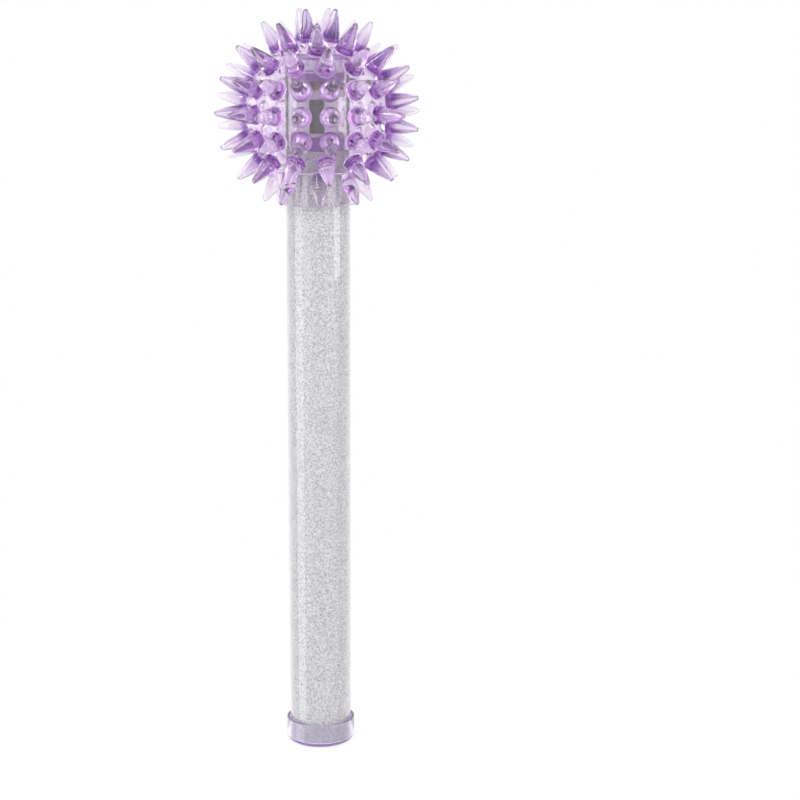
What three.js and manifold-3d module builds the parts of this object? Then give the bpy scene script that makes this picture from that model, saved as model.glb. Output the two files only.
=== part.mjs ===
// Light-up sensory wand: a soft spiky ball on a clear glitter tube, with a light module inside the ball.
// Millimetres, +Z up. The origin is the middle of the end cap's flat base, and -Y is the front.
import * as THREE from "three";
import { mergeVertices } from "three/addons/utils/BufferGeometryUtils.js";
import Module from "manifold-3d";

const wasm = await Module();
wasm.setup();

// Clearances
const FIT_GAP = 0.3; // all round, between pieces that plug or slide together
const SEAT_GAP = 0.1; // between faces that stand on each other
const SOLDER_GAP = 0.3; // under the foot of the shock spring, which tilts

// Clear tube, moulded with a little draft so that it narrows towards the end cap
const TUBE_LENGTH = 245;
const TUBE_BASE_DIAMETER = 22;
const TUBE_TOP_DIAMETER = 22.3;
const TUBE_WALL = 1.2;

// Glitter film, one sheet rolled inside the tube with its edges almost meeting at the back
const FILM_THICKNESS = 0.35;
const FILM_SEAM = 0.8;

// End cap, pushed over the tube's lower end
const END_CAP_HEIGHT = 8.8;
const END_CAP_WALL = 1;
const END_CAP_FLOOR = 1.6;
const END_CAP_EDGE_RADIUS = 2.4;
const END_CAP_RIM_RADIUS = 0.4;

// Top cap, plugged into the tube's upper end
const TOP_CAP_FLANGE = 1.6;
const TOP_CAP_SKIRT = 4.6;
const TOP_CAP_WALL = 1.2;
const TOP_CAP_EDGE_RADIUS = 0.8;

// Spiky ball with its neck collar
const BALL_DIAMETER = 50;
const BALL_WALL = 2.1;
const COLLAR_DIAMETER = 29;
const COLLAR_DROP = 31.6; // from the ball's centre down to the collar's lower edge
const COLLAR_EDGE_RADIUS = 1.6;

// Spikes, in level rings from the top of the ball to the collar
const SPIKE_LENGTH = 11;
const SPIKE_BASE_DIAMETER = 6.7;
const SPIKE_TIP_DIAMETER = 1.9;
const SPIKE_ROOT = 1; // how deep a spike is rooted in the ball's wall
const ROW_STEP = 19.5; // degrees of latitude between rings
const SPIKE_RINGS = [
  { row: 4, count: 4, turn: -30 },
  { row: 3, count: 8, turn: 2 },
  { row: 2, count: 12, turn: 10 },
  { row: 1, count: 16, turn: 12 },
  { row: 0, count: 16, turn: 12 },
  { row: -1, count: 16, turn: 12 },
  { row: -2, count: 12, turn: 10 },
  { row: -3, count: 8, turn: 4 },
];
const MIDDLE_COUNT = 16; // rings of this count have the two mould seams in them
const SEAM_COLUMNS = [3, 11]; // columns on the mould seams, set between the rings
const SEAM_ROWS = [1.35, 0.45, -0.45, -1.35];

// Button cells, stacked in the holder
const CELL_DIAMETER = 11.6;
const CELL_HEIGHT = 5.4;
const CELL_COUNT = 3;
const CELL_RIM = 0.5; // step and rounding of the can's edges
const CELL_PROUD = 0.8; // how far the lowest cell stands out of the holder

// Battery holder and its contacts
const HOLDER_WALL = 1.2;
const HOLDER_FLANGE = 2.4;
const WINDOW_WIDTH = 5;
const WINDOW_MARGIN = 1; // above and below the window in the holder's front
const CONTACT_THICKNESS = 0.4;
const CONTACT_TAB_WIDTH = 1.6;
const CONTACT_TAB_HEIGHT = 1.1;
const CONTACT_TAB_TURN = 180;
const CELL_SPRING_WIRE = 0.7;
const CELL_SPRING_HEIGHT = 2.2;
const CELL_SPRING_TURNS = 2;
const CELL_SPRING_TOP_RADIUS = 1.9;
const CELL_SPRING_FOOT_RADIUS = 4.8;

// Module base, the plug under the battery holder
const BASE_FLOOR = 1.2;

// Circuit board and what is soldered on it
const BOARD_THICKNESS = 1.2;
const CHIP_DIAMETER = 3;
const CHIP_HEIGHT = 1.1;
const CHIP_CIRCLE_RADIUS = 4.4;
const CHIP_TURN = 60;
const LED_DIAMETER = 3;
const LED_HEIGHT = 5.3;
const LED_FLANGE_DIAMETER = 3.8;
const LED_FLANGE_HEIGHT = 1;
const LED_LEAD = 0.45;
const LED_LEAD_PITCH = 2.54;
const LED_TURNS = { red_led: 0, green_led: 120, blue_led: 240 };
const WIRE_DIAMETER = 1;
const WIRE_TURN = 120;
const WIRE_RISE = 0.2; // how far the wire climbs on its way out under the holder

// Shock switch: a fine coil that sways round a pin when the ball is knocked
const SHOCK_PIN_DIAMETER = 0.7;
const SHOCK_PIN_HEIGHT = 5.4;
const SHOCK_PIN_COLLAR_DIAMETER = 1.8;
const SHOCK_PIN_COLLAR_HEIGHT = 0.4;
const SHOCK_COIL_RADIUS = 1.5;
const SHOCK_COIL_WIRE = 0.4;
const SHOCK_COIL_PITCH = 0.95;
const SHOCK_COIL_TURNS = 6;
const SHOCK_SWAY_ROOM = 1.2; // free space round the coil in the light plate

// Light plate, which holds the lights upright, and its screws
const PLATE_THICKNESS = 2.6;
const POST_HEIGHT = 1.5;
const POST_DIAMETER = 3.2;
const SCREW_DIAMETER = 1.2;
const SCREW_LENGTH = 7.6;
const SCREW_HEAD_DIAMETER = 2;
const SCREW_HEAD_HEIGHT = 0.9;
const SCREW_SLOT = 0.3;
const SCREW_TURNS = [60, 180, 300];

// Roundness of the turned pieces
const LARGE_SIDES = 32;
const SMALL_SIDES = 16;
const LEAD_HOLE_SIDES = 8;
const SPIKE_SIDES = 6;
const BALL_SIDES = 24;
const BALL_STEPS = 10; // bands of the ball's outside, from the collar to the top
const HOLLOW_STEPS = 20; // bands of its hollow, from bottom to top
const EDGE_STEPS = 3; // bands of a rounded edge
const CAP_EDGE_STEPS = 5; // bands of the end cap's wide lower edge
const RIM_STEPS = 2; // bands of a small rim
const NOSE_STEPS = 2; // bands of a spike's round tip
const DOME_STEPS = 4; // bands of a light's nose and of the chip's dome
const DOME_START = 20; // degrees at which the chip's dome leaves its upright side
const CURL_STEPS = 8;
const CURL_SIDES = 5;
const CURL_POINTS = 24; // points on a curl where the gap to the next one is measured
const HELD_WIRE_SIDES = 8;
const HELD_WIRE_STEPS = 16;

// Heights, stacked from the end cap's floor up to the tube's rim, then down through the light module
const tubeBase = END_CAP_FLOOR + SEAT_GAP;
const tubeTop = tubeBase + TUBE_LENGTH;
const flangeBottom = tubeTop + SEAT_GAP;
const flangeTop = flangeBottom + TOP_CAP_FLANGE;
const skirtBottom = flangeBottom - TOP_CAP_SKIRT;
const plateTop = skirtBottom - SEAT_GAP;
const plateBottom = plateTop - PLATE_THICKNESS;
const boardTop = plateBottom - POST_HEIGHT - SEAT_GAP;
const boardBottom = boardTop - BOARD_THICKNESS;
const holderTop = boardBottom - SEAT_GAP;
const contactBottom = holderTop - CONTACT_THICKNESS;
const cellStep = CELL_HEIGHT + SEAT_GAP;
const cellsBottom = contactBottom - CELL_COUNT * cellStep;
const holderBottom = cellsBottom + CELL_PROUD;
const baseTop = holderBottom - SEAT_GAP;
const springFoot = cellsBottom - SEAT_GAP - CELL_SPRING_HEIGHT;
const baseRecess = springFoot - SEAT_GAP;
const baseBottom = baseRecess - BASE_FLOOR;
const filmBottom = END_CAP_FLOOR + SEAT_GAP;
const filmTop = baseBottom - SEAT_GAP;

// Radii that follow from what each piece plugs into
const tubeRadius = (z) => {
  const share = (z - tubeBase) / TUBE_LENGTH;
  return THREE.MathUtils.lerp(TUBE_BASE_DIAMETER, TUBE_TOP_DIAMETER, share) / 2;
};
const tubeBore = (z) => tubeRadius(z) - TUBE_WALL;
const capBore = tubeRadius(END_CAP_HEIGHT) + FIT_GAP;
const capRadius = capBore + END_CAP_WALL;
const skirtRadius = tubeBore(skirtBottom) - FIT_GAP;
const flangeRadius = tubeRadius(tubeTop);
const moduleRadius = tubeBore(baseBottom) - FIT_GAP;
const holderBore = CELL_DIAMETER / 2 + FIT_GAP;
const holderRadius = holderBore + HOLDER_WALL;
const screwHole = SCREW_DIAMETER / 2 + FIT_GAP;
const screwCircle = (holderBore + moduleRadius) / 2;
const swayWindow = SHOCK_COIL_RADIUS + SHOCK_COIL_WIRE / 2 + SHOCK_SWAY_ROOM;
const lightCircle = (swayWindow + moduleRadius) / 2;
const wireRadius = WIRE_DIAMETER / 2;
const wireCircle = holderRadius + FIT_GAP + wireRadius;

// The ball rests on the rim of the top cap, and its neck slips over the tube
const ballRadius = BALL_DIAMETER / 2;
const ballHollow = ballRadius - BALL_WALL;
const ballCentre = flangeTop - Math.sqrt((ballHollow - FIT_GAP) ** 2 - flangeRadius ** 2);
const collarRadius = COLLAR_DIAMETER / 2;
const collarBottom = ballCentre - COLLAR_DROP;
const neckTop = ballCentre - Math.sqrt(ballHollow ** 2 - tubeRadius(ballCentre) ** 2);
const neckBore = tubeRadius(neckTop) + FIT_GAP;

const radians = THREE.MathUtils.degToRad;

// A place on a circle: turns are counted from the front, -Y, towards +X
function onCircle(radius, turn, z = 0) {
  const angle = radians(turn);
  return new THREE.Vector3(radius * Math.sin(angle), -radius * Math.cos(angle), z);
}

// Points of a profile along a circular arc, from one angle to another in degrees
function arc(centreR, centreZ, radius, from, to, steps) {
  return Array.from({ length: steps + 1 }, (_, i) => {
    const angle = radians(from + ((to - from) * i) / steps);
    return [centreR + radius * Math.cos(angle), centreZ + radius * Math.sin(angle)];
  });
}

// A turned piece about Z: the profile runs out along the bottom, up the outside and back in
function turned(profile, sides = LARGE_SIDES) {
  const points = profile.map(([r, z]) => new THREE.Vector2(Math.max(r, 0), z));
  return new THREE.LatheGeometry(points, sides).rotateX(Math.PI / 2);
}

// A turned ring, whose profile closes on itself
function ring(profile, sides = LARGE_SIDES) {
  return turned([...profile, profile[0]], sides);
}

// A round bar from one height to another
function bar(radius, bottom, top, sides = SMALL_SIDES) {
  return turned([[0, bottom], [radius, bottom], [radius, top], [0, top]], sides);
}

// A box by its middle in X and Y and its lower and upper height
function block(width, depth, bottom, top, place, turn = 0) {
  const box = new THREE.BoxGeometry(width, depth, top - bottom);
  return box.rotateZ(radians(turn)).translate(place.x, place.y, (bottom + top) / 2);
}

// A round wire along a path
function wire(path, radius, sides, steps) {
  const corners = Array.from({ length: sides }, (_, i) => {
    const angle = (2 * Math.PI * i) / sides;
    return new THREE.Vector2(radius * Math.cos(angle), radius * Math.sin(angle));
  });
  const section = new THREE.Shape(corners);
  return new THREE.ExtrudeGeometry(section, { steps, extrudePath: path, bevelEnabled: false });
}

// A closed geometry as a solid that can be cut and joined
function solid(geometry) {
  const bare = geometry.clone();
  bare.deleteAttribute("normal");
  bare.deleteAttribute("uv");
  const merged = mergeVertices(bare, 1e-4);
  const vertProperties = new Float32Array(merged.attributes.position.array);
  const triVerts = new Uint32Array(merged.index.array);
  return new wasm.Manifold(new wasm.Mesh({ numProp: 3, vertProperties, triVerts }));
}

// A solid back as a geometry
function geometryOf(body) {
  const mesh = body.getMesh();
  const geometry = new THREE.BufferGeometry();
  geometry.setAttribute("position", new THREE.BufferAttribute(mesh.vertProperties, 3));
  geometry.setIndex(new THREE.BufferAttribute(mesh.triVerts, 1));
  geometry.computeVertexNormals();
  return geometry;
}

// One geometry with others joined to it, and others cut from it
function joinAndCut(geometry, joined, cuts) {
  const whole = joined.reduce((body, piece) => body.add(solid(piece)), solid(geometry));
  return geometryOf(cuts.reduce((body, piece) => body.subtract(solid(piece)), whole));
}

// A coil's centre line: straight at both ends for one wire diameter, and a helix between them
function coilPath(footRadius, topRadius, bottom, top, turns, wireDiameter) {
  const first = bottom + wireDiameter;
  const last = top - wireDiameter;
  const count = turns * CURL_STEPS;
  const helix = Array.from({ length: count + 1 }, (_, i) => {
    const share = i / count;
    const radius = THREE.MathUtils.lerp(footRadius, topRadius, share);
    return onCircle(radius, 360 * turns * share, THREE.MathUtils.lerp(first, last, share));
  });
  const foot = helix[0].clone().setZ(bottom);
  const tip = helix[count].clone().setZ(top);
  return new THREE.CatmullRomCurve3([foot, ...helix, tip], false, "centripetal");
}

// The least gap between a coil's curls, measured on points along its centre line
function leastCurlGap(path, turns, wireDiameter) {
  const points = path.getSpacedPoints(Math.ceil(turns * CURL_POINTS));
  const apart = CURL_POINTS / 2;
  let least = Infinity;
  points.forEach((point, i) => {
    points.slice(i + apart).forEach((other) => {
      least = Math.min(least, point.distanceTo(other) - wireDiameter);
    });
  });
  return least;
}

// A coil spring as one unbroken wire
function coil(name, footRadius, topRadius, bottom, top, turns, wireDiameter) {
  const path = coilPath(footRadius, topRadius, bottom, top, turns, wireDiameter);
  const gap = leastCurlGap(path, turns, wireDiameter);
  console.log(`${name}: least gap between curls ${gap.toFixed(2)} mm`);
  return wire(path, wireDiameter / 2, CURL_SIDES, turns * CURL_STEPS + 2);
}

// One spike along +Z, with its base circle at height 0 and a round tip
function spikeGeometry() {
  const base = SPIKE_BASE_DIAMETER / 2;
  const tip = SPIKE_TIP_DIAMETER / 2;
  const sag = ballRadius - Math.sqrt(ballRadius ** 2 - base ** 2);
  const lean = THREE.MathUtils.radToDeg(Math.asin((base - tip) / (SPIKE_LENGTH - tip)));
  const nose = arc(0, SPIKE_LENGTH - tip, tip, lean, 90, NOSE_STEPS);
  return turned([[0, -SPIKE_ROOT], [base, -SPIKE_ROOT], [base, -sag], ...nose], SPIKE_SIDES);
}

// Latitude and turn of every spike, in degrees
function spikePlaces() {
  const onSeam = (ringOf, column) =>
    ringOf.count === MIDDLE_COUNT && SEAM_COLUMNS.includes(column);
  const inRings = SPIKE_RINGS.flatMap((ringOf) =>
    Array.from({ length: ringOf.count }, (_, column) => column)
      .filter((column) => !onSeam(ringOf, column))
      .map((column) => ({
        latitude: ringOf.row * ROW_STEP,
        turn: ringOf.turn + (360 * column) / ringOf.count,
      })),
  );
  const middle = SPIKE_RINGS.find((ringOf) => ringOf.count === MIDDLE_COUNT);
  const onSeams = SEAM_COLUMNS.flatMap((column) =>
    SEAM_ROWS.map((row) => ({
      latitude: row * ROW_STEP,
      turn: middle.turn + (360 * column) / MIDDLE_COUNT,
    })),
  );
  return [...inRings, ...onSeams];
}

// The soft ball: a sphere and its collar in one turned body with all spikes joined on.
// The hollow and the bore are cut last, so that no spike's root reaches into them.
function spikyBall() {
  const outerEnd = THREE.MathUtils.radToDeg(Math.acos(collarRadius / ballRadius));
  const edge = COLLAR_EDGE_RADIUS;
  const body = turned([
    [0, collarBottom],
    ...arc(collarRadius - edge, collarBottom + edge, edge, -90, 0, EDGE_STEPS),
    ...arc(0, ballCentre, ballRadius, -outerEnd, 90, BALL_STEPS),
  ], BALL_SIDES);
  const spikes = spikePlaces().map(({ latitude, turn }) => {
    const level = onCircle(Math.cos(radians(latitude)), turn, Math.sin(radians(latitude)));
    const aim = new THREE.Quaternion().setFromUnitVectors(new THREE.Vector3(0, 0, 1), level);
    const foot = level.clone().multiplyScalar(ballRadius).setZ(level.z * ballRadius + ballCentre);
    return spikeGeometry().applyQuaternion(aim).translate(foot.x, foot.y, foot.z);
  });
  const hollow = turned(arc(0, ballCentre, ballHollow, -90, 90, HOLLOW_STEPS), BALL_SIDES);
  const bore = bar(neckBore, collarBottom - SEAT_GAP, ballCentre, BALL_SIDES);
  return joinAndCut(body, spikes, [hollow, bore]);
}

function clearTube() {
  return ring([
    [tubeBore(tubeBase), tubeBase],
    [tubeRadius(tubeBase), tubeBase],
    [tubeRadius(tubeTop), tubeTop],
    [tubeBore(tubeTop), tubeTop],
  ]);
}

// The film lines the bore, and a narrow seam at the back is left open
function glitterFilm() {
  const outer = (z) => tubeBore(z) - FIT_GAP;
  const roll = ring([
    [outer(filmBottom) - FILM_THICKNESS, filmBottom],
    [outer(filmBottom), filmBottom],
    [outer(filmTop), filmTop],
    [outer(filmTop) - FILM_THICKNESS, filmTop],
  ]);
  const seamDepth = 2 * FILM_THICKNESS + outer(filmTop) - outer(filmBottom) + FIT_GAP;
  const seamPlace = onCircle(outer(filmTop) - seamDepth / 2 + FIT_GAP, 180);
  const seam = block(FILM_SEAM, seamDepth, filmBottom - FIT_GAP, filmTop + FIT_GAP, seamPlace);
  return joinAndCut(roll, [], [seam]);
}

function endCap() {
  const edge = END_CAP_EDGE_RADIUS;
  const rim = END_CAP_RIM_RADIUS;
  return turned([
    [0, 0],
    ...arc(capRadius - edge, edge, edge, -90, 0, CAP_EDGE_STEPS),
    ...arc(capRadius - rim, END_CAP_HEIGHT - rim, rim, 0, 90, RIM_STEPS),
    [capBore, END_CAP_HEIGHT],
    [capBore, END_CAP_FLOOR],
    [0, END_CAP_FLOOR],
  ]);
}

// The top cap's flange lies on the tube's rim, and its skirt plugs into the bore
function topCap() {
  const edge = TOP_CAP_EDGE_RADIUS;
  return turned([
    [0, flangeBottom],
    [skirtRadius - TOP_CAP_WALL, flangeBottom],
    [skirtRadius - TOP_CAP_WALL, skirtBottom],
    [skirtRadius, skirtBottom],
    [skirtRadius, flangeBottom],
    [flangeRadius, flangeBottom],
    ...arc(flangeRadius - edge, flangeTop - edge, edge, 0, 90, EDGE_STEPS),
    [0, flangeTop],
  ]);
}

// A hole or post at a place on one of the module's circles
function upright(radius, bottom, top, circle, turn) {
  const place = onCircle(circle, turn);
  return bar(radius, bottom, top).translate(place.x, place.y, 0);
}

// The light plate: a disc on three posts, with holes for the lights, the shock spring and the screws
function lightPlate() {
  const disc = bar(moduleRadius, plateBottom, plateTop, LARGE_SIDES);
  const past = plateTop + SEAT_GAP;
  const postBottom = plateBottom - POST_HEIGHT;
  const headRoom = SCREW_HEAD_DIAMETER / 2 + FIT_GAP;
  const headSeat = plateTop - SCREW_HEAD_HEIGHT - SEAT_GAP;
  const posts = SCREW_TURNS.map((turn) =>
    upright(POST_DIAMETER / 2, postBottom, plateTop - PLATE_THICKNESS / 2, screwCircle, turn),
  );
  const holes = SCREW_TURNS.flatMap((turn) => [
    upright(screwHole, postBottom - SEAT_GAP, past, screwCircle, turn),
    upright(headRoom, headSeat, past, screwCircle, turn),
  ]);
  const lights = Object.values(LED_TURNS).map((turn) =>
    upright(LED_DIAMETER / 2 + FIT_GAP, plateBottom - SEAT_GAP, past, lightCircle, turn),
  );
  const sway = bar(swayWindow, plateBottom - SEAT_GAP, past);
  return joinAndCut(disc, posts, [...holes, ...lights, sway]);
}

// Places of a light's two leads, side by side across the circle
function leadPlaces(turn) {
  const across = onCircle(LED_LEAD_PITCH / 2, turn + 90);
  const middle = onCircle(lightCircle, turn);
  return [middle.clone().add(across), middle.clone().sub(across)];
}

// The board: a disc with holes for the leads, the pin, the screws and the contact's tab
function circuitBoard() {
  const below = boardBottom - SEAT_GAP;
  const above = boardTop + SEAT_GAP;
  const leadHole = LED_LEAD * Math.SQRT1_2 + FIT_GAP;
  const leads = Object.values(LED_TURNS)
    .flatMap(leadPlaces)
    .map((place) => bar(leadHole, below, above, LEAD_HOLE_SIDES).translate(place.x, place.y, 0));
  const screws = SCREW_TURNS.map((turn) => upright(screwHole, below, above, screwCircle, turn));
  const pin = bar(SHOCK_PIN_DIAMETER / 2 + FIT_GAP, below, above, SMALL_SIDES);
  const tab = block(
    CONTACT_TAB_WIDTH + 2 * FIT_GAP,
    CONTACT_THICKNESS + 2 * FIT_GAP,
    below,
    above,
    tabPlace(),
    CONTACT_TAB_TURN,
  );
  const disc = bar(moduleRadius, boardBottom, boardTop, LARGE_SIDES);
  return joinAndCut(disc, [], [...leads, ...screws, pin, tab]);
}

function controllerChip() {
  const radius = CHIP_DIAMETER / 2;
  const bottom = boardTop + SEAT_GAP;
  const curve = arc(0, 0, 1, DOME_START, 90, DOME_STEPS);
  const dome = curve.map(([r, z]) => [r * radius, bottom + z * CHIP_HEIGHT]);
  const place = onCircle(CHIP_CIRCLE_RADIUS, CHIP_TURN);
  return turned([[0, bottom], [radius, bottom], ...dome], SMALL_SIDES).translate(place.x, place.y, 0);
}

// A light: a flanged lens with a round nose, standing on the board by its two leads
function light(turn) {
  const radius = LED_DIAMETER / 2;
  const bottom = boardTop + SEAT_GAP;
  const flange = LED_FLANGE_DIAMETER / 2;
  const lens = turned(
    [
      [0, bottom],
      [flange, bottom],
      [flange, bottom + LED_FLANGE_HEIGHT],
      [radius, bottom + LED_FLANGE_HEIGHT],
      ...arc(0, bottom + LED_HEIGHT - radius, radius, 0, 90, DOME_STEPS),
    ],
    SMALL_SIDES,
  );
  const middle = onCircle(lightCircle, turn);
  const leads = leadPlaces(turn).map((place) =>
    block(LED_LEAD, LED_LEAD, boardBottom + SEAT_GAP, bottom + LED_FLANGE_HEIGHT / 2, place, turn),
  );
  return joinAndCut(lens.translate(middle.x, middle.y, 0), leads, []);
}

// The pin goes through the board and stands on a small solder collar
function shockPin() {
  const radius = SHOCK_PIN_DIAMETER / 2;
  const collar = SHOCK_PIN_COLLAR_DIAMETER / 2;
  const bottom = boardTop + SEAT_GAP;
  return turned(
    [
      [0, boardBottom + SEAT_GAP],
      [radius, boardBottom + SEAT_GAP],
      [radius, bottom],
      [collar, bottom],
      [radius, bottom + SHOCK_PIN_COLLAR_HEIGHT],
      [radius, bottom + SHOCK_PIN_HEIGHT],
      [0, bottom + SHOCK_PIN_HEIGHT],
    ],
    SMALL_SIDES,
  );
}

function shockSpring() {
  const bottom = boardTop + SOLDER_GAP;
  const height = SHOCK_COIL_TURNS * SHOCK_COIL_PITCH + 2 * SHOCK_COIL_WIRE;
  const radius = SHOCK_COIL_RADIUS;
  const turns = SHOCK_COIL_TURNS;
  return coil("shock_spring", radius, radius, bottom, bottom + height, turns, SHOCK_COIL_WIRE);
}

// A screw through the light plate and the board into the holder's flange
function boardScrew(turn) {
  const shank = SCREW_DIAMETER / 2;
  const head = SCREW_HEAD_DIAMETER / 2;
  const top = plateTop;
  const neck = top - SCREW_HEAD_HEIGHT;
  const body = turned(
    [
      [0, neck - SCREW_LENGTH],
      [shank, neck - SCREW_LENGTH + shank],
      [shank, neck],
      [head, neck],
      [head, top],
      [0, top],
    ],
    SMALL_SIDES,
  );
  const middle = new THREE.Vector3();
  const slot = block(SCREW_HEAD_DIAMETER, SCREW_SLOT, top - SCREW_HEAD_HEIGHT / 2, top + SEAT_GAP, middle);
  const place = onCircle(screwCircle, turn);
  return joinAndCut(body, [], [slot]).translate(place.x, place.y, 0);
}

// The holder: a sleeve round the cells with a flange under the board and a window in front
function batteryHolder() {
  const flangeUnder = holderTop - HOLDER_FLANGE;
  const sleeve = ring([
    [holderBore, holderBottom],
    [holderRadius, holderBottom],
    [holderRadius, flangeUnder],
    [moduleRadius, flangeUnder],
    [moduleRadius, holderTop],
    [holderBore, holderTop],
  ]);
  const below = flangeUnder - SCREW_LENGTH;
  const above = holderTop + SEAT_GAP;
  const screws = SCREW_TURNS.map((turn) => upright(screwHole, below, above, screwCircle, turn));
  const wireHole = upright(wireRadius + FIT_GAP, flangeUnder - SEAT_GAP, above, wireCircle, WIRE_TURN);
  const front = onCircle(moduleRadius / 2, 0);
  const sill = holderBottom + WINDOW_MARGIN;
  const lintel = flangeUnder - WINDOW_MARGIN;
  const window = block(WINDOW_WIDTH, moduleRadius, sill, lintel, front);
  return joinAndCut(sleeve, [], [...screws, wireHole, window]);
}

// The contact's solder tab stands near the edge of its disc
function tabPlace() {
  return onCircle(CELL_DIAMETER / 2 - CONTACT_TAB_WIDTH, CONTACT_TAB_TURN);
}

function positiveContact() {
  const radius = CELL_DIAMETER / 2 - FIT_GAP;
  const disc = bar(radius, contactBottom, holderTop, LARGE_SIDES);
  const tabBottom = contactBottom + CONTACT_THICKNESS / 2;
  const tabTop = holderTop + CONTACT_TAB_HEIGHT;
  const tab = block(
    CONTACT_TAB_WIDTH,
    CONTACT_THICKNESS,
    tabBottom,
    tabTop,
    tabPlace(),
    CONTACT_TAB_TURN,
  );
  return joinAndCut(disc, [tab], []);
}

// A button cell, counted from the bottom, with its smaller pole down
function buttonCell(index) {
  const radius = CELL_DIAMETER / 2;
  const rim = CELL_RIM;
  const bottom = cellsBottom + index * cellStep;
  const top = bottom + CELL_HEIGHT;
  return turned([
    [0, bottom],
    [radius - 2 * rim, bottom],
    [radius - 2 * rim, bottom + rim],
    ...arc(radius - rim, bottom + 2 * rim, rim, -90, 0, RIM_STEPS),
    ...arc(radius - rim, top - rim, rim, 0, 90, RIM_STEPS),
    [0, top],
  ]);
}

function batterySpring() {
  return coil(
    "battery_spring",
    CELL_SPRING_FOOT_RADIUS,
    CELL_SPRING_TOP_RADIUS,
    springFoot,
    springFoot + CELL_SPRING_HEIGHT,
    CELL_SPRING_TURNS,
    CELL_SPRING_WIRE,
  );
}

// The wire runs from beside the spring, up the outside of the holder, to the board's underside
function batteryWire() {
  const route = [
    onCircle(holderBore, WIRE_TURN, baseRecess + WIRE_DIAMETER),
    onCircle(holderRadius, WIRE_TURN, baseRecess + WIRE_DIAMETER + WIRE_RISE),
    onCircle(wireCircle, WIRE_TURN, baseRecess + 2 * WIRE_DIAMETER + WIRE_RISE),
    onCircle(wireCircle, WIRE_TURN, baseTop + WIRE_DIAMETER),
    onCircle(wireCircle, WIRE_TURN, (baseTop + holderTop) / 2),
    onCircle(wireCircle, WIRE_TURN, boardBottom - FIT_GAP),
  ];
  const path = new THREE.CatmullRomCurve3(route, false, "centripetal");
  return wire(path, wireRadius, HELD_WIRE_SIDES, HELD_WIRE_STEPS);
}

// The module base: a shallow cup for the spring, with a slot that lets the wire out
function moduleBase() {
  const recess = holderBore + FIT_GAP;
  const cup = turned([
    [0, baseBottom],
    [moduleRadius, baseBottom],
    [moduleRadius, baseTop],
    [recess, baseTop],
    [recess, baseRecess],
    [0, baseRecess],
  ]);
  const slotWidth = WIRE_DIAMETER + 2 * FIT_GAP;
  const slotEnd = wireCircle + slotWidth / 2;
  const slotPlace = onCircle(slotEnd / 2, WIRE_TURN);
  const slot = block(slotWidth, slotEnd, baseRecess, baseTop + SEAT_GAP, slotPlace, WIRE_TURN);
  return joinAndCut(cup, [], [slot]);
}

// A finish as seen on the object
function finish(color, roughness, metalness = 0, opacity = 1) {
  return new THREE.MeshStandardMaterial({
    color,
    roughness,
    metalness,
    opacity,
    transparent: opacity < 1,
  });
}

function part(name, geometry, material) {
  const mesh = new THREE.Mesh(geometry, material);
  mesh.name = name;
  return mesh;
}

// The light module, from the top cap down to the module base
function lightModule() {
  const group = new THREE.Group();
  group.add(part("top_cap", topCap(), finish(0xcdbbe6, 0.3, 0, 0.7)));
  group.add(part("light_plate", lightPlate(), finish(0x6a47a0, 0.35, 0, 0.8)));
  group.add(part("circuit_board", circuitBoard(), finish(0x8a5a33, 0.6)));
  group.add(part("controller_chip", controllerChip(), finish(0x141416, 0.4)));
  const lensColours = { red_led: 0xe04040, green_led: 0x46c060, blue_led: 0x4868e0 };
  Object.entries(LED_TURNS).forEach(([name, turn]) => {
    group.add(part(name, light(turn), finish(lensColours[name], 0.2, 0, 0.8)));
  });
  group.add(part("shock_pin", shockPin(), finish(0xc8c8cc, 0.3, 1)));
  group.add(part("shock_spring", shockSpring(), finish(0xb8b8bc, 0.3, 1)));
  SCREW_TURNS.forEach((turn, i) => {
    group.add(part(`board_screw_${i + 1}`, boardScrew(turn), finish(0x9a9aa0, 0.35, 1)));
  });
  group.add(part("battery_holder", batteryHolder(), finish(0xd9d3e4, 0.5, 0, 0.8)));
  group.add(part("positive_contact", positiveContact(), finish(0xc9a65a, 0.3, 1)));
  for (let i = 0; i < CELL_COUNT; i += 1) {
    group.add(part(`button_cell_${i + 1}`, buttonCell(i), finish(0x3a3a42, 0.4, 0.4)));
  }
  group.add(part("battery_spring", batterySpring(), finish(0xc0c0c4, 0.3, 1)));
  group.add(part("battery_wire", batteryWire(), finish(0x1a1a1c, 0.5)));
  group.add(part("module_base", moduleBase(), finish(0x7a58b0, 0.35, 0, 0.8)));
  return group;
}

const wand = new THREE.Group();
wand.add(part("end_cap", endCap(), finish(0xcfc2e4, 0.3, 0, 0.7)));
wand.add(part("clear_tube", clearTube(), finish(0xeef0f4, 0.1, 0, 0.3)));
wand.add(part("glitter_film", glitterFilm(), finish(0xc6c7cc, 0.35, 0.6)));
wand.add(part("spiky_ball", spikyBall(), finish(0xa489d0, 0.25, 0, 0.6)));
wand.add(lightModule());

export default wand;
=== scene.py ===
"""Looks of the light-up sensory wand: a soft spiky ball on a clear glitter tube, with a light module inside.

Metres, +Z up, the front towards -Y. Sizes of pieces are written in millimetres and scaled by MM.
"""
import math

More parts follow.
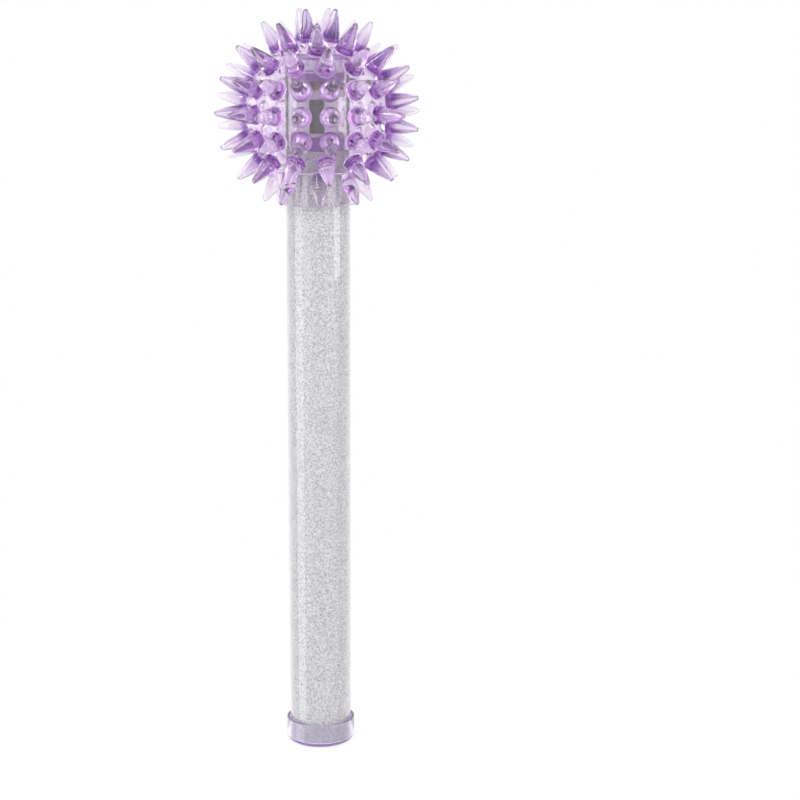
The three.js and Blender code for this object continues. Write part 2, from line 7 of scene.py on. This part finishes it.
import bmesh
import bpy
import numpy as np
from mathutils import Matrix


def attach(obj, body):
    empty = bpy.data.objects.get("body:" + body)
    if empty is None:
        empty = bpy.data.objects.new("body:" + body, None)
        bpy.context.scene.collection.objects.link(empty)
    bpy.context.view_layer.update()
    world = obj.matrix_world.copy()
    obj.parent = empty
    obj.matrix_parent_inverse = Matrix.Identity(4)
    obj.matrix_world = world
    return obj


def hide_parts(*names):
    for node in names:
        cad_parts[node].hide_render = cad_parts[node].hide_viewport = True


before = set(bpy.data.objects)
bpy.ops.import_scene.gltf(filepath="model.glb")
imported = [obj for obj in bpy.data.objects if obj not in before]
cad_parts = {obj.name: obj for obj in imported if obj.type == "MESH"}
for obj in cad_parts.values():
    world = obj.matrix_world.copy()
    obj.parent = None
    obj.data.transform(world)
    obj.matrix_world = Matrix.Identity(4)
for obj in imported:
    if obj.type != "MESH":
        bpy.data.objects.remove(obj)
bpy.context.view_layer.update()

MM = 0.001

# Tube and film
TUBE_BOTTOM = 1.7
TUBE_TOP = 246.7
TUBE_RADIUS_BOTTOM = 11.0
TUBE_RADIUS_TOP = 11.15
TUBE_WALL = 1.2
TUBE_RIM_ROUND = 0.25
TUBE_SIDES = 160
FILM_TOP = 216.0
FILM_BOND = 0.002
FILM_THICKNESS = 0.35
FILM_SEAM = 0.12
FILM_ROWS = 24
FILM_COLUMNS = 181
FLAKE_SIZE = 0.32

# End cap
CAP_RADIUS = 12.304
CAP_BORE = 11.304
CAP_HEIGHT = 8.8
CAP_FLOOR = 1.6
CAP_FOOT_ROUND = 2.4
CAP_LIP_OUTSIDE = 0.42
CAP_LIP_INSIDE = 0.3
CAP_FLOOR_ROUND = 0.6
CAP_SIDES = 160

# Top cap
FLANGE_BOTTOM = 246.8
FLANGE_TOP = 248.4
SKIRT_BOTTOM = 242.2
SKIRT_RADIUS = 9.647
SKIRT_WALL = 1.2
SKIRT_ROOT_ROUND = 0.4
SKIRT_EDGE_INSIDE = 0.25
SKIRT_EDGE_OUTSIDE = 0.4
FLANGE_ROOT_ROUND = 0.15
FLANGE_EDGE_BELOW = 0.2
FLANGE_EDGE_ABOVE = 0.8
TOP_CAP_SIDES = 128

# Spiky ball
BALL_CENTRE = 228.742
BALL_RADIUS = 25.0
BALL_HOLLOW = 22.9
BALL_SIDES = 192
NECK_BORE = 11.427
BORE_EDGE = 0.6
COLLAR_RADIUS = 14.5
COLLAR_BOTTOM = 197.142
COLLAR_EDGE = 1.6
COLLAR_FILLET = 1.2
SPIKE_LENGTH = 11.0
SPIKE_BASE = 3.35
SPIKE_TIP = 0.95
SPIKE_FLARE = 0.4
FLARE_STRETCH = 1.3
FLARE_POINTS = 7
NOSE_STEPS = 7
SPIKE_ROWS = (2.0, 2.6, 5.0, 7.5)
SPIKE_BULGE = 0.28
# Painted shade at the spikes' feet: rise over the ball in millimetres, and how deep the painted purple is at
# each
FOOT_RISE = (0.03, 0.3, 2.1, 2.75, 7.0)
FOOT_SHADE_DEPTH = (0.11, 1.0, 0.92, 0.42, 0.14)
SPIKE_ROOT = 1.0
SPIKE_STEP = 0.02

# Rings of spikes from the top down: row, count and turn of the first spike in degrees
ROW_STEP = 19.5
SPIKE_RINGS = [(4, 4, -30.0), (3, 8, 2.0), (2, 12, 10.0), (1, 16, 12.0), (0, 16, 12.0),
               (-1, 16, 12.0), (-2, 12, 10.0), (-3, 8, 4.0)]
MIDDLE_COUNT = 16
MIDDLE_TURN = 12.0
SEAM_COLUMNS = (3, 11)
SEAM_ROWS = (1.35, 0.45, -0.45, -1.35)

# Camera, as the photo was taken, in metres, degrees and millimetres of film
CAMERA_PLACE = (0.0288, -0.7315, 0.2818)
CAMERA_PITCH = 11.95
CAMERA_ROLL = 0.17
CAMERA_LENS = 94.5
SENSOR_WIDTH = 36.0
NEAREST_SEEN = 0.05
FARTHEST_SEEN = 50.0

# Floor and air: the floor turns from near white to white between two distances in metres
FLOOR_HALF = 6000.0
FLOOR_DROP = 0.1
FLOOR_NEAR_WHITE = 0.86
FLOOR_NEAR = 0.02
FLOOR_FAR = 0.2
AIR_LEVEL = 0.7

# Limits of the mesh work
SIDE_SHARE = 0.49
SHORTEST_RUN = 1e-6
WELD = 1e-7
STEEP = 0.9

# Sockets of a Mix node that blends colours
MIX_FIRST = 6
MIX_SECOND = 7
MIX_RESULT = 2


# Shapes

def tube_radius(height):
    """Outside radius of the tube at a height: it grows evenly from the bottom to the top."""
    share = (np.asarray(height) - TUBE_BOTTOM) / (TUBE_TOP - TUBE_BOTTOM)
    return TUBE_RADIUS_BOTTOM + (TUBE_RADIUS_TOP - TUBE_RADIUS_BOTTOM) * share


def arc(centre, radius, first, last, steps):
    """Points of a circle in the profile plane, from one angle to another in degrees."""
    angle = np.radians(np.linspace(first, last, steps + 1))
    return np.stack([centre[0] + radius * np.cos(angle), centre[1] + radius * np.sin(angle)], axis=1)


def rounded(points, radii, steps):
    """A profile whose corners become arcs: each arc touches the two sides that meet at its corner."""
    points = np.asarray(points, float)
    runs = [points[:1]]
    for i, radius in enumerate(radii, start=1):
        corner = points[i]
        back, ahead = points[i - 1] - corner, points[i + 1] - corner
        back_length, ahead_length = np.linalg.norm(back), np.linalg.norm(ahead)
        back, ahead = back / back_length, ahead / ahead_length
        half = math.acos(np.clip(back @ ahead, -1, 1)) / 2
        run = min(radius / math.tan(half), SIDE_SHARE * back_length, SIDE_SHARE * ahead_length)
        if run < SHORTEST_RUN:
            runs.append(points[i:i + 1])
            continue
        size = run * math.tan(half)
        centre = corner + (back + ahead) / np.linalg.norm(back + ahead) * size / math.sin(half)
        start, end = corner + back * run - centre, corner + ahead * run - centre
        sweep = math.pi - 2 * half
        share = np.linspace(0, 1, steps + 1)[:, None]
        bend = np.sin((1 - share) * sweep) * start + np.sin(share * sweep) * end
        runs.append(centre + bend / math.sin(sweep))
    runs.append(points[-1:])
    return np.vstack(runs)


def grid_faces(rows, columns):
    """Quads of a grid that closes on itself along its columns."""
    row, column = np.meshgrid(np.arange(rows - 1), np.arange(columns), indexing="ij")
    after = (column + 1) % columns
    here = row * columns
    above = here + columns
    quads = [here + column, here + after, above + after, above + column]
    return np.stack(quads, axis=-1).reshape(-1, 4)


def mesh_from(name, points, faces):
    """An object at the origin from points in millimetres, with doubled points welded."""
    mesh = bpy.data.meshes.new(name)
    mesh.from_pydata((np.asarray(points) * MM).tolist(), [], [list(face) for face in faces])
    body = bmesh.new()
    body.from_mesh(mesh)
    bmesh.ops.remove_doubles(body, verts=body.verts, dist=WELD)
    body.to_mesh(mesh)
    body.free()
    piece = bpy.data.objects.new(name, mesh)
    bpy.context.scene.collection.objects.link(piece)
    return piece


def smooth(piece, limit=38.0):
    """Shades a piece smooth, with edges sharper than a limit in degrees left crisp."""
    body = bmesh.new()
    body.from_mesh(piece.data)
    for face in body.faces:
        face.smooth = True
    for edge in body.edges:
        edge.smooth = edge.calc_face_angle(0.0) < math.radians(limit)
    body.to_mesh(piece.data)
    body.free()
    return piece


def turned(name, profile, sides):
    """A profile of radius and height carried round Z: out along the bottom, up the outside and back in."""
    profile = np.asarray(profile, float)
    angle = np.linspace(0, 2 * np.pi, sides, endpoint=False)
    radius, height = profile[:, :1], profile[:, 1:]
    heights = np.repeat(height, sides, axis=1)
    points = np.stack([radius * np.cos(angle), radius * np.sin(angle), heights], axis=-1)
    return mesh_from(name, points.reshape(-1, 3), grid_faces(len(profile), sides))


def combined(piece, other, operation):
    """A piece joined with another or cut by it, as one clean closed mesh."""
    change = piece.modifiers.new(operation.lower(), "BOOLEAN")
    change.operation = operation
    change.solver = "MANIFOLD"
    change.object = other
    bpy.context.view_layer.update()
    graph = bpy.context.evaluated_depsgraph_get()
    mesh = bpy.data.meshes.new_from_object(piece.evaluated_get(graph))
    piece.modifiers.clear()
    piece.data = mesh
    bpy.data.objects.remove(other)
    return piece


def spike_aims():
    """Unit vectors along all spikes: level rings, with the two mould seam columns set between them."""
    places = []
    for row, count, turn in SPIKE_RINGS:
        columns = [k for k in range(count) if count != MIDDLE_COUNT or k not in SEAM_COLUMNS]
        places += [(row * ROW_STEP, turn + 360.0 * k / count) for k in columns]
    for column in SEAM_COLUMNS:
        places += [(row * ROW_STEP, MIDDLE_TURN + 360.0 * column / MIDDLE_COUNT) for row in SEAM_ROWS]
    latitude, turn = np.radians(np.array(places)).T
    level = np.cos(latitude)
    return np.stack([level * np.sin(turn), -level * np.cos(turn), np.sin(latitude)], axis=1)


def ball_drop(radius):
    """Height of the ball's surface, from its crown under a spike, at a radius from the spike's axis."""
    return math.sqrt(BALL_RADIUS ** 2 - radius ** 2) - BALL_RADIUS


def spike_profile():
    """Radius and height of one spike: rooted in the wall, a flared foot, a side that swells, a round tip."""
    lean = math.asin((SPIKE_BASE - SPIKE_TIP) / (SPIKE_LENGTH - SPIKE_TIP))
    nose = arc((0, SPIKE_LENGTH - SPIKE_TIP), SPIKE_TIP, math.degrees(lean), 90, NOSE_STEPS)
    corner = np.array([SPIKE_BASE, ball_drop(SPIKE_BASE)])
    side = (nose[0] - corner) / np.linalg.norm(nose[0] - corner)
    foot_radius = SPIKE_BASE + SPIKE_FLARE
    foot = np.array([foot_radius, ball_drop(foot_radius) + SPIKE_STEP])
    top = corner + side * FLARE_STRETCH * SPIKE_FLARE
    share = np.linspace(0, 1, FLARE_POINTS)[:, None]
    flare = (1 - share) ** 2 * foot + 2 * share * (1 - share) * corner + share ** 2 * top
    along = (np.array(SPIKE_ROWS) - flare[-1, 1]) / (nose[0, 1] - flare[-1, 1])
    swell = flare[-1] + along[:, None] * (nose[0] - flare[-1])
    swell[:, 0] += SPIKE_BULGE * 4 * along * (1 - along)
    root = [[0, -SPIKE_ROOT], [foot_radius, -SPIKE_ROOT]]
    return np.vstack([root, flare, swell, nose])


def spikes(name, sides=28):
    """All spikes at once: one turned profile, set on each aim from the ball's surface outwards."""
    aims = spike_aims()
    profile = spike_profile()
    helper = np.where(np.abs(aims[:, 2:]) < STEEP, [[0.0, 0.0, 1.0]], [[1.0, 0.0, 0.0]])
    across = np.cross(helper, aims)
    across /= np.linalg.norm(across, axis=1, keepdims=True)
    up = np.cross(aims, across)
    angle = np.linspace(0, 2 * np.pi, sides, endpoint=False)
    spokes = across[:, None] * np.cos(angle)[None, :, None] + up[:, None] * np.sin(angle)[None, :, None]
    radial = spokes[:, None] * profile[None, :, :1, None]
    along = aims[:, None, None] * (BALL_RADIUS + profile[None, :, 1:, None])
    points = (radial + along + [0, 0, BALL_CENTRE]).reshape(-1, 3)
    one = grid_faces(len(profile), sides)
    faces = (one[None] + np.arange(len(aims))[:, None, None] * len(profile) * sides).reshape(-1, 4)
    return mesh_from(name, points, faces)


def paint_shade_at_feet(ball):
    """Stores painted shade by the rise over the ball: deepest at a spike's foot, standing in for the dark
    purple crescents that light makes in the thick rubber there, none on the collar.
    """
    mesh = ball.data
    flat = np.empty(3 * len(mesh.vertices), np.float32)
    mesh.vertices.foreach_get("co", flat)
    place = flat.reshape(-1, 3) / MM - [0, 0, BALL_CENTRE]
    rise = np.linalg.norm(place, axis=1) - BALL_RADIUS
    on_collar = (np.hypot(place[:, 0], place[:, 1]) < COLLAR_RADIUS + COLLAR_FILLET) & (place[:, 2] < 0)
    depth = np.where(on_collar, 0.0, np.interp(rise, FOOT_RISE, FOOT_SHADE_DEPTH))
    layer = mesh.attributes.new("painted_foot_shade", "FLOAT", "POINT")
    layer.data.foreach_set("value", depth.astype(np.float32))
    return ball


def spiky_ball():
    """The ball's hollow shell with its neck collar, all spikes joined on, and the bore cut last."""
    centre = (0, BALL_CENTRE)
    inner_end = math.degrees(math.acos(NECK_BORE / BALL_HOLLOW))
    reach = BALL_RADIUS + COLLAR_FILLET
    fillet_radius = COLLAR_RADIUS + COLLAR_FILLET
    fillet_drop = math.sqrt(reach ** 2 - fillet_radius ** 2)
    outer_end = math.degrees(math.atan2(fillet_drop, fillet_radius))
    inside = arc(centre, BALL_HOLLOW, 90, -inner_end, steps=72)
    mouth = rounded([inside[-1], (NECK_BORE, COLLAR_BOTTOM), (COLLAR_RADIUS, COLLAR_BOTTOM),
                     (COLLAR_RADIUS, BALL_CENTRE - fillet_drop)], [BORE_EDGE, COLLAR_EDGE], steps=8)[1:-1]
    fillet_centre = (fillet_radius, BALL_CENTRE - fillet_drop)
    fillet = arc(fillet_centre, COLLAR_FILLET, 180, 180 - outer_end, steps=6)
    outside = arc(centre, BALL_RADIUS, -outer_end, 90, steps=96)[1:]
    shell = turned("spiky_ball_skin", np.vstack([inside, mouth, fillet, outside]), BALL_SIDES)
    ball = combined(shell, spikes("spikes"), "UNION")
    low, high = COLLAR_BOTTOM + 2 * COLLAR_EDGE, BALL_CENTRE
    bore = turned("bore", [(0, low), (NECK_BORE, low), (NECK_BORE, high), (0, high)], BALL_SIDES)
    return paint_shade_at_feet(smooth(combined(ball, bore, "DIFFERENCE")))


def clear_tube():
    """The tube's wall, tapered, with its rims softly rounded."""
    bore_bottom, bore_top = TUBE_RADIUS_BOTTOM - TUBE_WALL, TUBE_RADIUS_TOP - TUBE_WALL
    middle = ((bore_bottom + bore_top) / 2, (TUBE_BOTTOM + TUBE_TOP) / 2)
    corners = [middle, (bore_bottom, TUBE_BOTTOM), (TUBE_RADIUS_BOTTOM, TUBE_BOTTOM),
               (TUBE_RADIUS_TOP, TUBE_TOP), (bore_top, TUBE_TOP), middle]
    profile = rounded(corners, [TUBE_RIM_ROUND] * 4, steps=4)
    return smooth(turned("clear_tube_skin", profile, TUBE_SIDES))


def glitter_film():
    """The film: a thin strip carried round the bore and clinging to it, open at the seam at the back."""
    half_seam = FILM_SEAM / 2 / tube_radius(TUBE_TOP)
    back = math.pi / 2
    angle = np.linspace(back + half_seam, back + 2 * math.pi - half_seam, FILM_COLUMNS)[:, None]
    rise = np.linspace(TUBE_BOTTOM, FILM_TOP, FILM_ROWS)
    height = np.concatenate([rise, rise[::-1]])
    inset = TUBE_WALL - FILM_BOND + np.repeat([0, FILM_THICKNESS], FILM_ROWS)
    radius = tube_radius(height) - inset
    points = np.stack([radius * np.cos(angle), radius * np.sin(angle), height + 0 * angle], axis=-1)
    loop = 2 * FILM_ROWS
    faces = grid_faces(FILM_COLUMNS, loop)[:, ::-1].tolist()
    low = np.arange(FILM_ROWS - 1)
    first = np.stack([low, low + 1, loop - 2 - low, loop - 1 - low], axis=1)
    last = first[:, ::-1] + (FILM_COLUMNS - 1) * loop
    faces += first.tolist() + last.tolist()
    return smooth(mesh_from("glitter_film_skin", points.reshape(-1, 3), faces))


def end_cap():
    """The pushed-on cap: a cup with a well rounded lower edge."""
    corners = [(0, 0), (CAP_RADIUS, 0), (CAP_RADIUS, CAP_HEIGHT), (CAP_BORE, CAP_HEIGHT),
               (CAP_BORE, CAP_FLOOR), (0, CAP_FLOOR)]
    rounds = [CAP_FOOT_ROUND, CAP_LIP_OUTSIDE, CAP_LIP_INSIDE, CAP_FLOOR_ROUND]
    return smooth(turned("end_cap_skin", rounded(corners, rounds, steps=10), CAP_SIDES))


def top_cap():
    """The plug in the tube's upper end: a flange over the rim and a skirt in the bore."""
    flange_radius = TUBE_RADIUS_TOP
    skirt_bore = SKIRT_RADIUS - SKIRT_WALL
    corners = [(0, FLANGE_BOTTOM), (skirt_bore, FLANGE_BOTTOM), (skirt_bore, SKIRT_BOTTOM),
               (SKIRT_RADIUS, SKIRT_BOTTOM), (SKIRT_RADIUS, FLANGE_BOTTOM),
               (flange_radius, FLANGE_BOTTOM), (flange_radius, FLANGE_TOP), (0, FLANGE_TOP)]
    rounds = [SKIRT_ROOT_ROUND, SKIRT_EDGE_INSIDE, SKIRT_EDGE_OUTSIDE, FLANGE_ROOT_ROUND,
              FLANGE_EDGE_BELOW, FLANGE_EDGE_ABOVE]
    return smooth(turned("top_cap_skin", rounded(corners, rounds, steps=6), TOP_CAP_SIDES))


# Materials

def node_of(tree, kind, inputs=(), **settings):
    """A shader node with its settings and the values of its sockets."""
    node = tree.nodes.new(kind)
    for name, value in settings.items():
        setattr(node, name, value)
    for name, value in dict(inputs).items():
        node.inputs[name].default_value = value
    return node


def finish(name, **values):
    """A material with a Principled surface, and the values of its sockets."""
    material = bpy.data.materials.new(name)
    material.use_nodes = True
    surface = material.node_tree.nodes["Principled BSDF"]
    for socket, value in values.items():
        surface.inputs[socket.replace("_", " ")].default_value = value
    return material


def surface_of(material):
    """The Principled surface of a material."""
    return material.node_tree.nodes["Principled BSDF"]


def place_of(tree, stretch=(1.0, 1.0, 1.0)):
    """Places on the piece in metres, stretched along its axes."""
    mapping = node_of(tree, "ShaderNodeMapping", {"Scale": stretch})
    tree.links.new(node_of(tree, "ShaderNodeTexCoord").outputs["Object"], mapping.inputs["Vector"])
    return mapping.outputs["Vector"]


def noise(tree, grain, detail=3.0, stretch=(1.0, 1.0, 1.0)):
    """Soft noise whose features are about a grain, in millimetres."""
    node = node_of(tree, "ShaderNodeTexNoise", {"Scale": 1.0 / (grain * MM), "Detail": detail})
    tree.links.new(place_of(tree, stretch), node.inputs["Vector"])
    return node.outputs["Fac"]


def spread(tree, value, low, high, first=0.3, last=0.7):
    """A value between first and last, spread evenly from low to high."""
    ends = {"From Min": first, "From Max": last, "To Min": low, "To Max": high}
    node = node_of(tree, "ShaderNodeMapRange", ends)
    tree.links.new(value, node.inputs["Value"])
    return node.outputs["Result"]


def blend_colours(tree, share, first, second):
    """A colour between two, by a share from 0 to 1."""
    node = node_of(tree, "ShaderNodeMix", data_type="RGBA")
    node.inputs[MIX_FIRST].default_value = (*first, 1)
    node.inputs[MIX_SECOND].default_value = (*second, 1)
    tree.links.new(share, node.inputs[0])
    return node.outputs[MIX_RESULT]


def bump(tree, height, depth):
    """A surface relief of a depth in millimetres."""
    node = node_of(tree, "ShaderNodeBump", {"Strength": 1.0, "Distance": depth * MM})
    tree.links.new(height, node.inputs["Height"])
    return node.outputs["Normal"]


def tinted_inside(material, colour, density):
    """Light that goes through the piece takes on a colour, deeper the longer its way."""
    tree = material.node_tree
    tint = node_of(tree, "ShaderNodeVolumeAbsorption", {"Color": (*colour, 1), "Density": density})
    tree.links.new(tint.outputs["Volume"], tree.nodes["Material Output"].inputs["Volume"])


def soft_purple():
    """Soft clear rubber tinted purple inside, with painted shade in deep purple at the spikes' feet, and a
    faint haze on its skin.
    """
    material = finish("soft purple rubber", Transmission_Weight=0.97, IOR=1.43)
    tree, surface = material.node_tree, surface_of(material)
    feet_shading = node_of(tree, "ShaderNodeAttribute", attribute_name="painted_foot_shade")
    # Painted shade: the colour turns deep purple at the spikes' feet, for the crescents that light makes in
    # thick rubber
    colour = blend_colours(tree, feet_shading.outputs["Fac"], first=(0.995, 0.985, 1.0), second=(0.38, 0.16, 0.54))
    tree.links.new(colour, surface.inputs["Base Color"])
    haze = spread(tree, noise(tree, grain=1.2), low=0.02, high=0.07)
    tree.links.new(haze, surface.inputs["Roughness"])
    dents = bump(tree, noise(tree, grain=3.0, detail=2.0), depth=0.02)
    tree.links.new(dents, surface.inputs["Normal"])
    tinted_inside(material, colour=(0.48, 0.0, 0.66), density=24.0)
    return material


def clear_plastic():
    """Clear hard plastic, greyer where it is thick, with fine rubbing marks along its length."""
    material = finish("clear plastic", Base_Color=(0.985, 0.985, 0.99, 1), Transmission_Weight=1.0, IOR=1.49)
    tree, surface = material.node_tree, surface_of(material)
    marks = noise(tree, grain=0.6, detail=4.0, stretch=(1.0, 1.0, 0.06))
    rubbed = spread(tree, marks, low=0.005, high=0.05, first=0.45, last=0.8)
    tree.links.new(rubbed, surface.inputs["Roughness"])
    tinted_inside(material, colour=(0.5, 0.5, 0.46), density=56.0)
    return material


def glitter():
    """Silver film crowded with small flakes, each with a painted brightness for the glint or shade a tilted
    flake would catch, more of them bright than dark.
    """
    material = finish("silver glitter film", Metallic=0.25, Roughness=0.45)
    tree, surface = material.node_tree, surface_of(material)
    # Painted glints and shade: each flake's brightness is set in its colour, not made by light on tilted
    # flakes
    flakes = node_of(tree, "ShaderNodeTexVoronoi", {"Scale": 1.0 / (FLAKE_SIZE * MM), "Randomness": 1.0})
    tree.links.new(place_of(tree), flakes.inputs["Vector"])
    pick = node_of(tree, "ShaderNodeSeparateColor")
    tree.links.new(flakes.outputs["Color"], pick.inputs["Color"])
    lean_to_glints = 0.75
    bright = node_of(tree, "ShaderNodeMath", {1: lean_to_glints}, operation="POWER")
    tree.links.new(pick.outputs["Red"], bright.inputs[0])
    silver = blend_colours(tree, bright.outputs[0], first=(0.375, 0.37, 0.425), second=(1.0, 0.99, 1.0))
    tree.links.new(silver, surface.inputs["Base Color"])
    return material


def pale_cap():
    """Clear plastic with a little bluish milk, purple where it is thick."""
    material = finish("pale lavender plastic", Transmission_Weight=0.93, IOR=1.46)
    tree, surface = material.node_tree, surface_of(material)
    cloud = spread(tree, noise(tree, grain=2.5), low=0, high=1)
    milk = blend_colours(tree, cloud, first=(0.92, 0.93, 1.0), second=(0.95, 0.955, 1.0))
    tree.links.new(milk, surface.inputs["Base Color"])
    haze = spread(tree, noise(tree, grain=0.8), low=0.02, high=0.06)
    tree.links.new(haze, surface.inputs["Roughness"])
    tinted_inside(material, colour=(0.44, 0.0, 0.66), density=84.0)
    return material


def moulded(name, colour, roughness, through=0.0, metallic=0.0):
    """Plain moulded or drawn stuff: a colour with faint mottling and a fine grain in its gloss."""
    material = finish(name, Transmission_Weight=through, Metallic=metallic, IOR=1.5)
    tree, surface = material.node_tree, surface_of(material)
    darker = tuple(0.92 * part for part in colour)
    mottle = spread(tree, noise(tree, grain=2.0), low=0, high=1)
    tree.links.new(blend_colours(tree, mottle, darker, colour), surface.inputs["Base Color"])
    gloss = spread(tree, noise(tree, grain=0.4), low=0.8 * roughness, high=1.2 * roughness)
    tree.links.new(gloss, surface.inputs["Roughness"])
    return material


def dress(piece, material):
    """A piece takes one material."""
    piece.data.materials.clear()
    piece.data.materials.append(material)
    return piece


# The object

def stand_for(piece, node, body, material):
    """A finer piece in place of one CAD node, on that node's body."""
    dress(piece, material)
    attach(piece, body)
    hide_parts(node)


lavender = pale_cap()
stand_for(spiky_ball(), "spiky_ball", "wand", soft_purple())
stand_for(clear_tube(), "clear_tube", "wand", clear_plastic())
stand_for(glitter_film(), "glitter_film", "wand", glitter())
stand_for(end_cap(), "end_cap", "cap", lavender)
stand_for(top_cap(), "top_cap", "wand", lavender)

purple_plastic = moulded("purple plastic", (0.34, 0.01, 0.58), roughness=0.4)
steel = moulded("bright steel", (0.62, 0.62, 0.64), roughness=0.28, metallic=1.0)
node_finishes = {
    "light_plate": purple_plastic,
    "module_base": purple_plastic,
    "circuit_board": moulded("brown board", (0.22, 0.10, 0.04), roughness=0.5),
    "controller_chip": moulded("black resin", (0.012, 0.012, 0.014), roughness=0.3),
    "red_led": moulded("red lens", (0.75, 0.08, 0.07), roughness=0.15, through=0.6),
    "green_led": moulded("green lens", (0.08, 0.6, 0.14), roughness=0.15, through=0.6),
    "blue_led": moulded("blue lens", (0.08, 0.16, 0.75), roughness=0.15, through=0.6),
    "shock_pin": steel,
    "shock_spring": steel,
    "battery_holder": moulded("pale plastic", (0.95, 0.85, 1.0), roughness=0.4),
    "positive_contact": moulded("contact brass", (0.62, 0.42, 0.16), roughness=0.3, metallic=1.0),
    "battery_spring": steel,
    "battery_wire": moulded("black wire sleeve", (0.015, 0.015, 0.017), roughness=0.4),
}
# Painted shade: the button cells are near black all over, standing in for the shade inside the holder
cells_painted_dark = moulded("cells painted dark for shade", (0.016, 0.014, 0.024), roughness=0.55)
for k in (1, 2, 3):
    node_finishes[f"button_cell_{k}"] = cells_painted_dark
    node_finishes[f"board_screw_{k}"] = steel
for node_name, material in node_finishes.items():
    dress(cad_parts[node_name], material)


# Stage

def white_to_the_eye(tree, shader, level=None):
    """White, by a level, for what the eye, gloss and clear pieces see, over a shader that keeps shadows."""
    path = node_of(tree, "ShaderNodeLightPath")
    seen = node_of(tree, "ShaderNodeMath", operation="ADD", use_clamp=True)
    tree.links.new(path.outputs["Is Camera Ray"], seen.inputs[0])
    tree.links.new(path.outputs["Is Glossy Ray"], seen.inputs[1])
    both = node_of(tree, "ShaderNodeMath", operation="ADD", use_clamp=True)
    tree.links.new(seen.outputs[0], both.inputs[0])
    tree.links.new(path.outputs["Is Transmission Ray"], both.inputs[1])
    share = node_of(tree, "ShaderNodeMath", {1: 1.0}, operation="MULTIPLY")
    tree.links.new(both.outputs[0], share.inputs[0])
    if level:
        tree.links.new(level, share.inputs[1])
    white = node_of(tree, "ShaderNodeEmission", {"Color": (1, 1, 1, 1), "Strength": 1.0})
    mix = node_of(tree, "ShaderNodeMixShader")
    tree.links.new(share.outputs[0], mix.inputs[0])
    tree.links.new(shader, mix.inputs[1])
    tree.links.new(white.outputs[0], mix.inputs[2])
    return mix.outputs[0]


def floor():
    """A wide pale floor just under the cap, whitest away from the wand's foot."""
    side, low = FLOOR_HALF, -FLOOR_DROP
    corners = [(-side, -side, low), (side, -side, low), (side, side, low), (-side, side, low)]
    plane = mesh_from("floor", corners, [(0, 1, 2, 3)])
    material = finish("pale floor", Base_Color=(0.9, 0.9, 0.9, 1), Roughness=0.6)
    tree = material.node_tree
    away = node_of(tree, "ShaderNodeVectorMath", operation="LENGTH")
    tree.links.new(place_of(tree), away.inputs[0])
    level = spread(tree, away.outputs["Value"], low=FLOOR_NEAR_WHITE, high=1.0,
                   first=FLOOR_NEAR, last=FLOOR_FAR)
    shown = white_to_the_eye(tree, surface_of(material).outputs["BSDF"], level)
    tree.links.new(shown, tree.nodes["Material Output"].inputs["Surface"])
    plane.visible_glossy = False
    dress(plane, material)


def studio_air():
    """White all round for what is seen, and a softer level for what it lights."""
    world = bpy.data.worlds.new("studio")
    world.use_nodes = True
    bpy.context.scene.world = world
    tree = world.node_tree
    air = tree.nodes["Background"]
    air.inputs["Color"].default_value = (1, 1, 1, 1)
    air.inputs["Strength"].default_value = AIR_LEVEL
    shown = white_to_the_eye(tree, air.outputs[0])
    tree.links.new(shown, tree.nodes["World Output"].inputs["Surface"])


def softbox(name, turn, distance, height, size, level, tilt=0.0):
    """A soft area lamp at a turn from the front towards +X, aimed at the wand's axis and tilted down."""
    lamp = bpy.data.lights.new(name, "AREA")
    lamp.shape = "RECTANGLE"
    lamp.size, lamp.size_y = size
    lamp.energy = level * math.pi * size[0] * size[1]
    thing = bpy.data.objects.new(name, lamp)
    bpy.context.scene.collection.objects.link(thing)
    angle = math.radians(turn)
    thing.location = (distance * math.sin(angle), -distance * math.cos(angle), height)
    thing.rotation_euler = (math.radians(90 - tilt), 0, angle)
    thing.visible_camera = False
    thing.visible_transmission = False
    return thing


def lamps():
    """Boxes that show in the gloss, and two fills that light what lies behind the clear pieces."""
    softbox("left strip", turn=-74.0, distance=0.9, height=0.15, size=(0.55, 1.6), level=3.0)
    softbox("right box", turn=74.0, distance=0.9, height=0.34, size=(0.4, 0.5), level=4.0)
    for side, turn in (("left", -126.0), ("right", 126.0)):
        softbox(f"{side} rim box", turn, distance=0.9, height=0.15, size=(1.0, 1.6), level=0.8)
    softbox("top box", turn=0.0, distance=0.0, height=1.3, size=(1.0, 1.0), level=1.0, tilt=90.0)
    softbox("glint box", turn=-38.0, distance=1.0, height=0.85, size=(0.28, 0.28), level=20.0, tilt=32.0)
    for side, turn in (("left", -52.0), ("right", 52.0)):
        fill = softbox(f"{side} fill", turn, distance=1.0, height=0.4, size=(0.7, 0.9), level=2.8, tilt=10.0)
        fill.visible_transmission = True
        fill.visible_glossy = False


def camera():
    """The photo's camera."""
    lens = bpy.data.cameras.new("camera")
    lens.lens, lens.sensor_width = CAMERA_LENS, SENSOR_WIDTH
    lens.clip_start, lens.clip_end = NEAREST_SEEN, FARTHEST_SEEN
    eye = bpy.data.objects.new("camera", lens)
    eye.location = CAMERA_PLACE
    eye.rotation_mode = "ZYX"
    eye.rotation_euler = (math.radians(90 - CAMERA_PITCH), 0, math.radians(CAMERA_ROLL))
    bpy.context.scene.collection.objects.link(eye)
    bpy.context.scene.camera = eye


floor()
studio_air()
lamps()
camera()

scene = bpy.context.scene
scene.view_settings.view_transform = "Standard"
scene.cycles.max_bounces = 32
scene.cycles.transmission_bounces = 28
scene.cycles.glossy_bounces = 8
